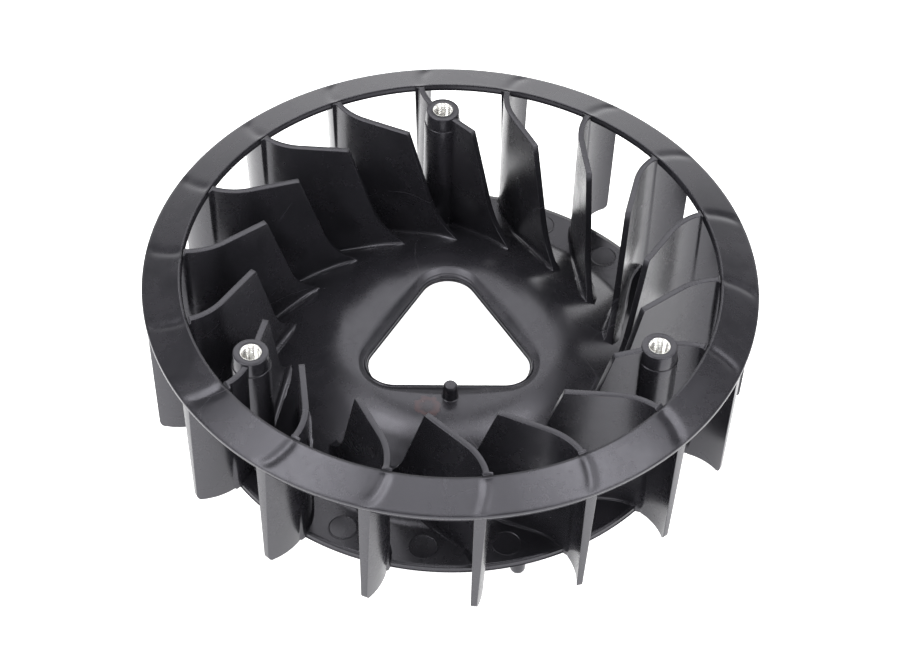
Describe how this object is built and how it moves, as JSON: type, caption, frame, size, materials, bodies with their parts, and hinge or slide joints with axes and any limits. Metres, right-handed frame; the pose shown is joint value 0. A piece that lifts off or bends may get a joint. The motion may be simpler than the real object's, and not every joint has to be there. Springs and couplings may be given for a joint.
{
  "type": "flywheel cooling fan",
  "caption": "Round moulded fan for a small engine's flywheel: curved vanes under a conical rim ring, a dished base with a triangular opening, and posts with threaded metal inserts.",
  "frame": {"origin": "on the fan's axis, in the plane of the base's flat underside", "axes": "+Z along the fan's axis, out of the inlet eye; -Y towards the locator pin on the hub"},
  "size_m": [0.2, 0.2, 0.0625],
  "materials": {
    "fan_plastic": "fine moulded satin, dark grey",
    "insert_steel": "bright turned and tapped"
  },
  "bodies": {
    "root": {"rim_ring": "fan_plastic", "base_flange": "fan_plastic", "base_dish": "fan_plastic", "hub_plate": "fan_plastic", "locator_pin": "fan_plastic", "vane_01": "fan_plastic", "vane_02": "fan_plastic", "vane_03": "fan_plastic", "vane_04": "fan_plastic", "vane_05": "fan_plastic", "vane_06": "fan_plastic", "vane_07": "fan_plastic", "vane_08": "fan_plastic", "vane_09": "fan_plastic", "vane_10": "fan_plastic", "vane_11": "fan_plastic", "vane_12": "fan_plastic", "vane_13": "fan_plastic", "vane_14": "fan_plastic", "vane_15": "fan_plastic", "vane_16": "fan_plastic", "vane_17": "fan_plastic", "vane_18": "fan_plastic", "insert_post_1": "fan_plastic", "insert_post_2": "fan_plastic", "insert_post_3": "fan_plastic", "drive_peg_1": "fan_plastic", "drive_peg_2": "fan_plastic", "drive_peg_3": "fan_plastic", "threaded_insert_1": "insert_steel", "threaded_insert_2": "insert_steel", "threaded_insert_3": "insert_steel"}
  },
  "joints": []
}
